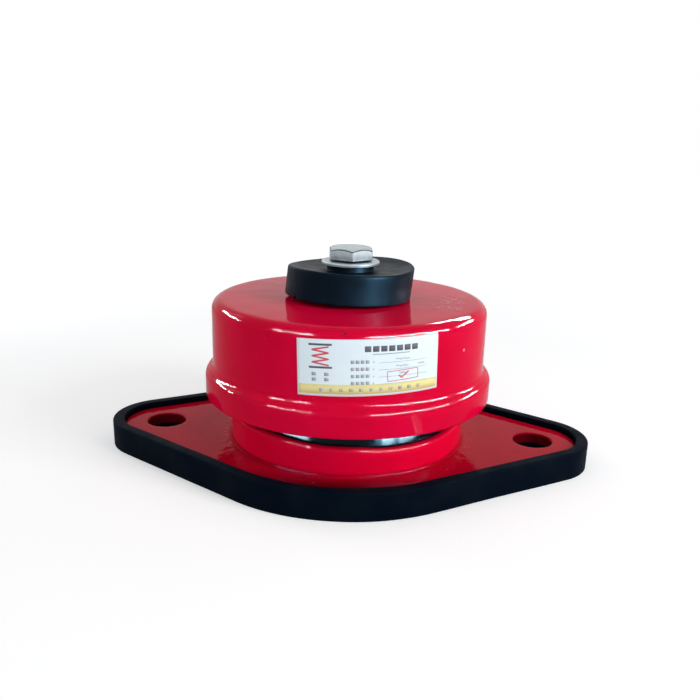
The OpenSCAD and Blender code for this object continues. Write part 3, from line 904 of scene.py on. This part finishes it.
INNER_LOOKS = {
    "spring_guide": oiled_steel,
    "guide_weld_bead": weld_steel,
    "limit_bush": inner_rubber,
    "lower_spring_pad": inner_rubber,
    "upper_spring_seat": oiled_steel,
    "upper_spring_pad": inner_rubber,
    "threaded_boss": oiled_steel,
    "boss_weld_bead": weld_steel,
    "limit_bolt": zinc,
    "limit_washer": zinc,
    "rebound_buffer": inner_rubber,
}


def paint_inner():
    for name, look in INNER_LOOKS.items():
        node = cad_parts[name]
        for slot in node.material_slots:
            slot.material = look


# Studio

CAMERA_AT = Vector((0.02649, -0.33219, 0.14118))
CAMERA_TURN = math.radians(4.56)
CAMERA_RISE = math.radians(16.92)
CAMERA_ROLL = 0.0262


def make_camera():
    """The photograph's view: close, a little above, and rolled by a degree and a half."""
    data = bpy.data.cameras.new("camera")
    data.sensor_width = 36.0
    data.lens = 39.606
    data.shift_x = 0.0031
    data.shift_y = 0.0247
    back = Vector((math.sin(CAMERA_TURN) * math.cos(CAMERA_RISE),
                   -math.cos(CAMERA_TURN) * math.cos(CAMERA_RISE), math.sin(CAMERA_RISE)))
    level = Vector((math.cos(CAMERA_TURN), math.sin(CAMERA_TURN), 0.0))
    upright = back.cross(level)
    right = math.cos(CAMERA_ROLL) * level + math.sin(CAMERA_ROLL) * upright
    up = math.cos(CAMERA_ROLL) * upright - math.sin(CAMERA_ROLL) * level
    camera = bpy.data.objects.new("camera", data)
    camera.matrix_world = Matrix.Translation(CAMERA_AT) @ Matrix((right, up, back)).transposed().to_4x4()
    bpy.context.scene.collection.objects.link(camera)
    bpy.context.scene.camera = camera


def seen_background(tree):
    """1 on rays that show the background: from the camera, or by way of gloss or glass."""
    path = tree.nodes.new("ShaderNodeLightPath")
    either = path.outputs["Is Camera Ray"]
    for kind in ("Is Glossy Ray", "Is Transmission Ray"):
        node = tree.nodes.new("ShaderNodeMath")
        node.operation = "MAXIMUM"
        tree.links.new(either, node.inputs[0])
        tree.links.new(path.outputs[kind], node.inputs[1])
        either = node.outputs[0]
    return either


def make_world(side, overhead):
    """Soft light, of one strength round the horizon and another overhead, before a white backdrop."""
    world = bpy.data.worlds.new("studio")
    bpy.context.scene.world = world
    world.use_nodes = True
    tree = world.node_tree
    tree.nodes.clear()
    soft = tree.nodes.new("ShaderNodeBackground")
    soft.inputs["Color"].default_value = (0.96, 0.98, 1.0, 1.0)
    # Softer overhead than round the horizon, as in a room with side windows
    way = tree.nodes.new("ShaderNodeSeparateXYZ")
    tree.links.new(tree.nodes.new("ShaderNodeTexCoord").outputs["Generated"], way.inputs[0])
    fade = tree.nodes.new("ShaderNodeMapRange")
    tree.links.new(way.outputs["Z"], fade.inputs["Value"])
    fade.inputs["To Min"].default_value = side
    fade.inputs["To Max"].default_value = overhead
    tree.links.new(fade.outputs[0], soft.inputs["Strength"])
    white = tree.nodes.new("ShaderNodeBackground")
    white.inputs["Strength"].default_value = 1.0
    white.inputs["Color"].default_value = (1.0, 1.0, 1.0, 1.0)
    mix = tree.nodes.new("ShaderNodeMixShader")
    out = tree.nodes.new("ShaderNodeOutputWorld")
    tree.links.new(seen_background(tree), mix.inputs[0])
    tree.links.new(soft.outputs[0], mix.inputs[1])
    tree.links.new(white.outputs[0], mix.inputs[2])
    tree.links.new(mix.outputs[0], out.inputs["Surface"])


def make_floor():
    """A wide pale floor that shows as white, with the part's soft shadow on it."""
    half = 3.0
    work = bmesh.new()
    bmesh.ops.create_grid(work, x_segments=8, y_segments=8, size=half)
    look = Look("floor_paint", IOR=1.2, Roughness=0.9)
    look.set("Base Color", look.mix(look.noise(120, 2), (0.82, 0.82, 0.82), (0.85, 0.85, 0.85)))
    tree = look.material.node_tree
    glow = tree.nodes.new("ShaderNodeEmission")
    # Away from the lamps more of the white is the floor's own, so that no horizon shows
    near, far, dim, full = 0.25, 1.4, 0.36, 0.86
    lift = look.fit(look.axis_distance(), near, far, dim, full)
    seen = tree.nodes.new("ShaderNodeLightPath").outputs["Is Camera Ray"]
    tree.links.new(look.math("MULTIPLY", seen, lift), glow.inputs["Strength"])
    both = tree.nodes.new("ShaderNodeAddShader")
    tree.links.new(look.bsdf.outputs[0], both.inputs[0])
    tree.links.new(glow.outputs[0], both.inputs[1])
    tree.links.new(both.outputs[0], tree.nodes["Material Output"].inputs["Surface"])
    floor = new_piece("floor", work, [look.material])


DAYLIGHT = (0.88, 0.94, 1.0)
SKYLIGHT = (0.45, 0.74, 1.0)


def make_lamp(name, turn, rise, width, height, radiance):
    """A soft box aimed at the part: turn degrees to the right of the camera, rise degrees up."""
    aim, distance = Vector((0, 0, 0.045)), 0.9
    a = CAMERA_TURN - math.pi / 2 + math.radians(turn)
    e = math.radians(rise)
    away = Vector((math.cos(a) * math.cos(e), math.sin(a) * math.cos(e), math.sin(e)))
    data = bpy.data.lights.new(name, "AREA")
    data.shape = "RECTANGLE"
    data.size = width
    data.size_y = height
    data.energy = radiance * math.pi * width * height
    lamp = bpy.data.objects.new(name, data)
    lamp.location = aim + away * distance
    lamp.rotation_euler = away.to_track_quat("Z", "Y").to_euler()
    lamp.visible_camera = False
    bpy.context.scene.collection.objects.link(lamp)
    return lamp


def make_strip(name, turn, width, radiance):
    """A lit strip that lies on the floor and runs outwards, turn degrees to the right of the camera."""
    length, middle, lift = 0.50, 0.35, 0.001
    strip = make_lamp(name, turn, 0, width, length, radiance)
    out = Vector((strip.location.x, strip.location.y, 0)).normalized()
    strip.location = out * middle + Vector((0, 0, lift))
    strip.rotation_euler = (math.pi, 0, CAMERA_TURN + math.radians(turn))
    return strip


def shine(lamp, pieces, colour=DAYLIGHT):
    """Lets a lamp show in the gloss of some pieces only, as a window far off would."""
    lamp.visible_diffuse = False
    lamp.data.color = colour
    group = bpy.data.collections.new(lamp.name + "_pieces")
    for name in pieces:
        group.objects.link(bpy.data.objects[name])
    lamp.light_linking.receiver_collection = group


BELL = ["upper_shell"]
WALLS = ["upper_shell", "lower_shell", "weld_fillet"]
SLEEVE = ["sleeve_rubber"]
PAD = ["top_rubber"]


def make_lamps():
    # Soft boxes that light the part
    make_lamp("soft_right", 60, 24, 0.35, 0.40, 9.8)
    make_lamp("soft_left", -55, 22, 0.40, 0.30, 0.6)
    make_lamp("soft_back_left", -125, 28, 0.35, 0.35, 2.5)
    make_lamp("soft_front", 8, 10, 0.50, 0.25, 1.0)

    # Windows, seen in the rolled edges and the rubber
    shine(make_lamp("window_right", 52, 31, 1.12, 0.16, 520.0), WALLS)
    shine(make_lamp("window_left", -47, 31, 0.57, 0.13, 480.0), WALLS)
    shine(make_lamp("window_side_right", 112, 22, 0.36, 0.10, 300.0), BELL)
    shine(make_lamp("window_back_right", 150, 32, 0.36, 0.10, 300.0), BELL)
    shine(make_lamp("window_back_left", -118, 24, 0.50, 0.07, 300.0), BELL)
    shine(make_lamp("window_pad", 48, 14, 0.14, 0.25, 620.0), PAD, SKYLIGHT)

    # Sunlit strips of floor, seen in the upright walls
    shine(make_strip("strip_wide", 42, 0.008, 13.0), WALLS)
    shine(make_strip("strip_thin", 45, 0.004, 9.0), WALLS)
    shine(make_strip("strip_near", 33, 0.018, 120.0), SLEEVE)
    shine(make_strip("strip_mid", 50, 0.030, 130.0), SLEEVE)
    shine(make_strip("strip_right", 44, 0.080, 45.0), SLEEVE, SKYLIGHT)
    shine(make_strip("strip_left", -40, 0.040, 90.0), SLEEVE)


make_base()
make_lower_housing()
make_sleeve()
make_upper_housing()
make_spring()
make_pad()
make_washer()
make_bolt()
make_label()
make_print()
paint_inner()
make_camera()
make_world(side=0.84, overhead=0.32)
make_floor()
make_lamps()
bpy.context.scene.view_settings.view_transform = "Standard"
